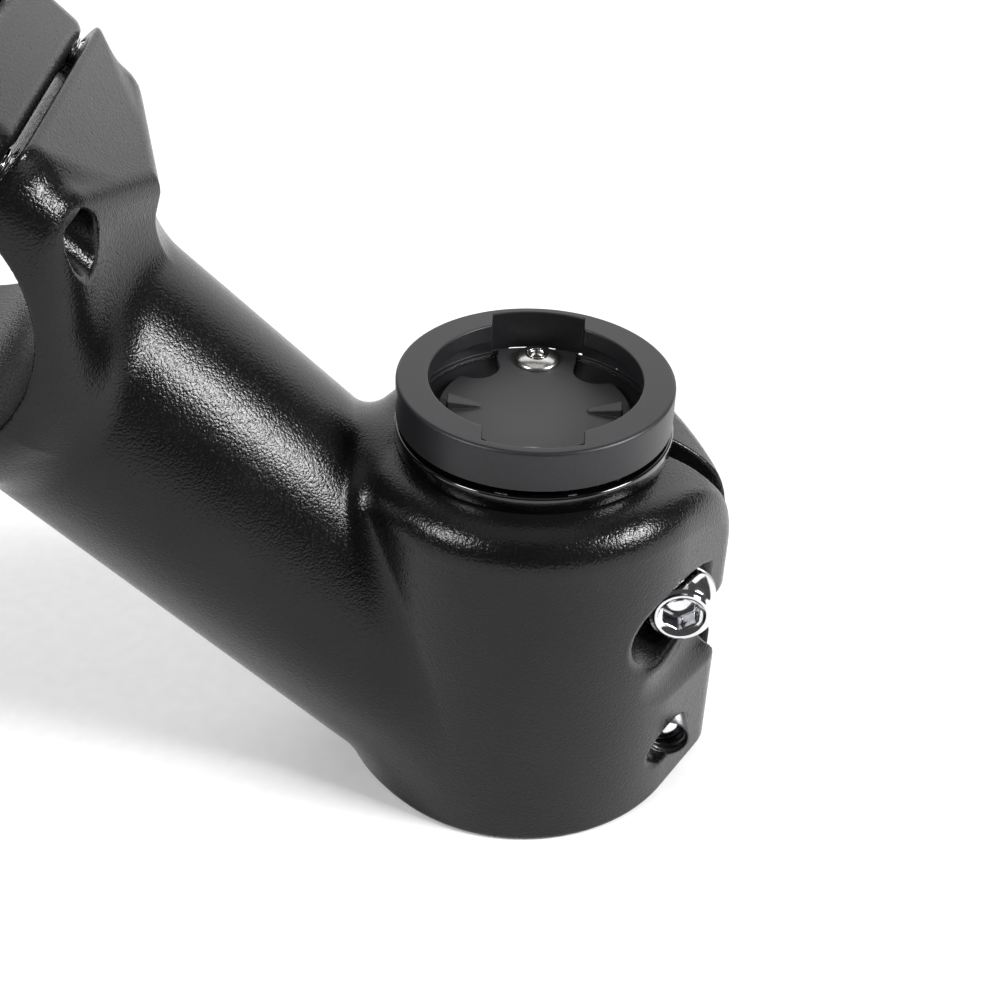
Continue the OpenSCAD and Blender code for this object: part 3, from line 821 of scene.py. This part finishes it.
def screwRings():
    head, top = screw["head"], screw["height"]
    low = [(0.02, -screw["length"]), (screw["shank"] - 0.3, -screw["length"]),
           (screw["shank"], 0.3 - screw["length"]), (screw["shank"], 0), (head, 0)]
    rings = [ringAt(r, z, around) for r, z in low]
    for i in range(1, 12):
        a = math.radians(i * 6.6)
        rings.append(ringAt(head * math.cos(a), 0.15 + (top - 0.15) * math.sin(a) / math.sin(1.27), around))
    socket = screw["flats"] / 2
    rings += [ringAt(r, z, around) for r, z in ((socket + 0.34, top), (socket + 0.26, top - 0.03),
                                                (socket + 0.18, top - 0.12))]
    hexagon = hexRadius(around, screw["flats"])
    rings += [ringAt(hexagon * share, z, around) for share, z in
              ((1, top - 0.2), (1, top - 0.5), (1, top - screw["depth"] + 0.05),
               (0.95, top - screw["depth"]), (0.02, top - screw["depth"] - 0.3))]
    return rings


for place in ("far", "near"):
    low, high = boxOf("plate_screw_" + place, 0)
    middle = (low + high) / 2
    at = np.array([middle[0], middle[1], high[2] - screw["height"]])
    ringed("button_screw_" + place, screwRings(), (np.eye(3), at), body="cap",
           replaced=["plate_screw_" + place], slot="stainless", material=stainless)

for node, material, slot in (("cap_o_ring", rubber, "rubber"), ("preload_bolt", blackOxide, "black_steel")):
    nodes[node].data.materials.clear()
    nodes[node].data.materials.append(material)
    nodes[node].data.shade_smooth()
print("cap made")

# ---- floor, light and camera ----

studio = {"sky": 0.08, "floorSize": 6.0, "subject": (0.03, 0.0, 0.04), "distance": 0.6}


def paleFloor():
    material, tree, shader, place = newMaterial("white studio paper", Roughness=0.9)
    fibre = addNode(tree, "ShaderNodeTexNoise", {"Scale": 1 / (2 * mm), "Detail": 3.0}, {"Vector": place})
    shade = ramp(tree, fibre.outputs["Fac"], [(0.2, tone("f1f1f1")), (0.8, tone("f7f7f7"))])
    tree.links.new(shade, shader.inputs["Base Color"])
    mesh = bpy.data.meshes.new("studio_floor")
    half = studio["floorSize"] / 2
    corners = [(-half, -half, 0), (half, -half, 0), (half, half, 0), (-half, half, 0)]
    mesh.from_pydata(corners, [], [(0, 1, 2, 3)])
    mesh.materials.append(material)
    floor = bpy.data.objects.new("studio_floor", mesh)
    bpy.context.scene.collection.objects.link(floor)


def softBox(name, direction, size, power):
    toward = Vector(studio["subject"])
    at = toward + Vector(direction).normalized() * studio["distance"]
    lamp = bpy.data.lights.new(name, "AREA")
    lamp.shape = "RECTANGLE"
    lamp.size, lamp.size_y = size
    lamp.energy = power
    light = bpy.data.objects.new(name, lamp)
    bpy.context.scene.collection.objects.link(light)
    light.location = at
    light.rotation_euler = (toward - at).to_track_quat("-Z", "Y").to_euler()


paleFloor()
world = bpy.data.worlds.new("studio_air")
bpy.context.scene.world = world
world.use_nodes = True
world.node_tree.nodes["Background"].inputs["Color"].default_value = tone("ffffff")
world.node_tree.nodes["Background"].inputs["Strength"].default_value = studio["sky"]
softBox("right_soft_box", (-0.82, 0.27, 0.50), (0.18, 0.18), 5.2)
softBox("left_soft_box", (0.65, 0.46, 0.59), (0.16, 0.16), 2.6)
softBox("top_soft_box", (0.0, 0.1, 1.0), (0.5, 0.5), 0.5)
softBox("back_soft_box", (-0.1, -0.85, 0.46), (1.0, 0.7), 3.4)

camera = {
    "place": (6.59, 149.63, 141.42),    # millimetres
    "right": (-0.9996, 0.0002, 0.0294),
    "down": (-0.0238, 0.583, -0.8121),
    "forward": (-0.0173, -0.8125, -0.5827),
    "lens": 58.1,
}
lens = bpy.data.cameras.new("camera")
lens.lens = camera["lens"]
lens.sensor_width = 36
lens.clip_start, lens.clip_end = 0.005, 20
view = bpy.data.objects.new("camera", lens)
bpy.context.scene.collection.objects.link(view)
axes = Matrix([camera["right"], [-c for c in camera["down"]], [-c for c in camera["forward"]]]).transposed()
view.matrix_world = Matrix.Translation(Vector(camera["place"]) * mm) @ axes.to_4x4()
bpy.context.scene.camera = view
bpy.context.scene.view_settings.view_transform = "Standard"
